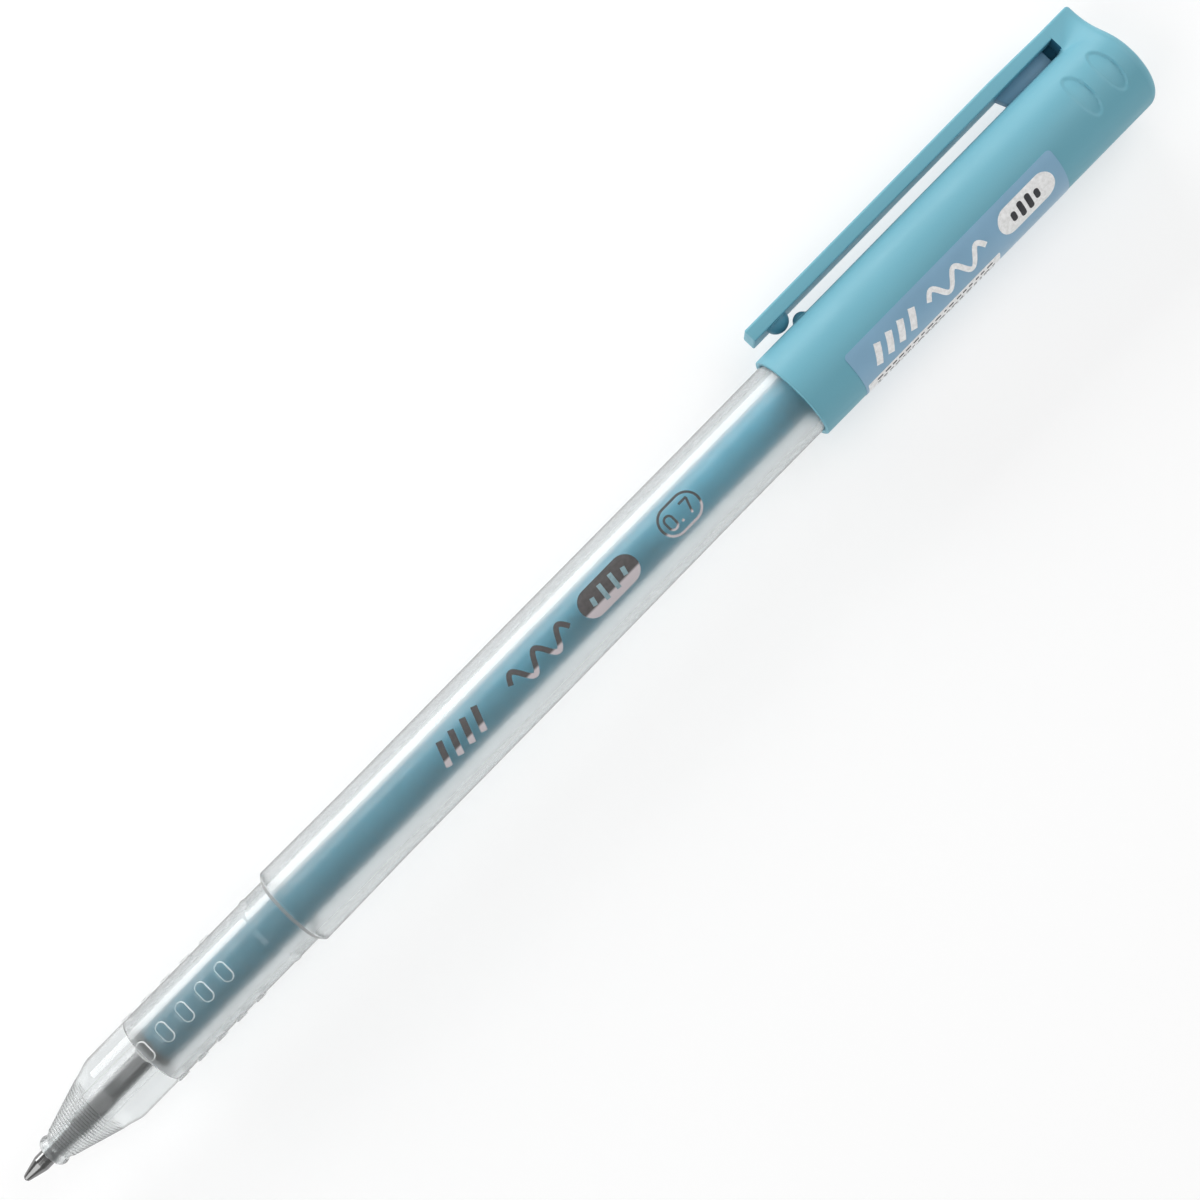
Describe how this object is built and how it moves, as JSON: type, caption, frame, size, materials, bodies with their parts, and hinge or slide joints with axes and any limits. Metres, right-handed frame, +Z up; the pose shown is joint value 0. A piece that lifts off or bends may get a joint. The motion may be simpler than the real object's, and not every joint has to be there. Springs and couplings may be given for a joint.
{
  "type": "gel pen",
  "caption": "Slim stick gel pen with a clear frosted barrel, a padded grip, a visible coloured refill and a posted push-on cap with a pocket clip.",
  "frame": {"origin": "middle of the pen's footprint, at the height of the cap's lowest line, with the pen lying down", "axes": "+X along the pen towards the closed end of the cap, +Y towards the clip's side, +Z up"},
  "size_m": [0.1696, 0.0142, 0.011],
  "materials": {
    "clear_plastic": "clear moulded plastic with a fine frosted finish",
    "plug_plastic": "natural white moulded plastic",
    "tube_plastic": "clear extruded tube",
    "holder_plastic": "dark grey moulded plastic",
    "point_metal": "turned and polished metal",
    "ball_metal": "polished hard metal",
    "ink": "thick wet gel ink, teal blue",
    "follower_grease": "clear pale grease",
    "cap_plastic": "satin teal moulded plastic",
    "label_film": "thin printed film label"
  },
  "bodies": {
    "barrel": {"barrel": "clear_plastic"},
    "end_plug": {"end_plug": "plug_plastic"},
    "refill": {"refill_tube": "tube_plastic", "tip_holder": "holder_plastic", "tip_point": "point_metal", "ink_column": "ink"},
    "follower": {"ink_follower": "follower_grease"},
    "ball": {"tip_ball": "ball_metal"},
    "cap": {"cap_shell": "cap_plastic", "cap_label": "label_film"},
    "clip": {"pocket_clip": "cap_plastic"}
  },
  "joints": [
    {"name": "cap_pull", "type": "slide", "parent": "barrel", "child": "cap", "axis": [1, 0, 0], "range_m": [0, 0.03]},
    {"name": "clip_flex", "type": "hinge", "parent": "cap", "child": "clip", "pos_m": [0.07283, 0.00709, 0.0055], "axis": [0, 0, -1], "range_deg": [0, 5], "stiffness_Nm_per_rad": 0.2},
    {"name": "plug_pull", "type": "slide", "parent": "barrel", "child": "end_plug", "axis": [1, 0, 0], "range_m": [0, 0.012]},
    {"name": "refill_slide", "type": "slide", "parent": "barrel", "child": "refill", "axis": [1, 0, 0], "range_m": [0, 0.012]},
    {"name": "ink_use", "type": "slide", "parent": "refill", "child": "follower", "axis": [-1, 0, 0], "range_m": [0, 0.09], "deforming": ["ink_column"]},
    {"name": "ball_roll", "type": "hinge", "parent": "refill", "child": "ball", "pos_m": [-0.08443, -0.00153, 0.0055], "axis": [0, 1, 0], "continuous": true}
  ],
  "couplings": [
    {"joint": "refill_slide", "follows": "plug_pull", "ratio": 1}
  ]
}
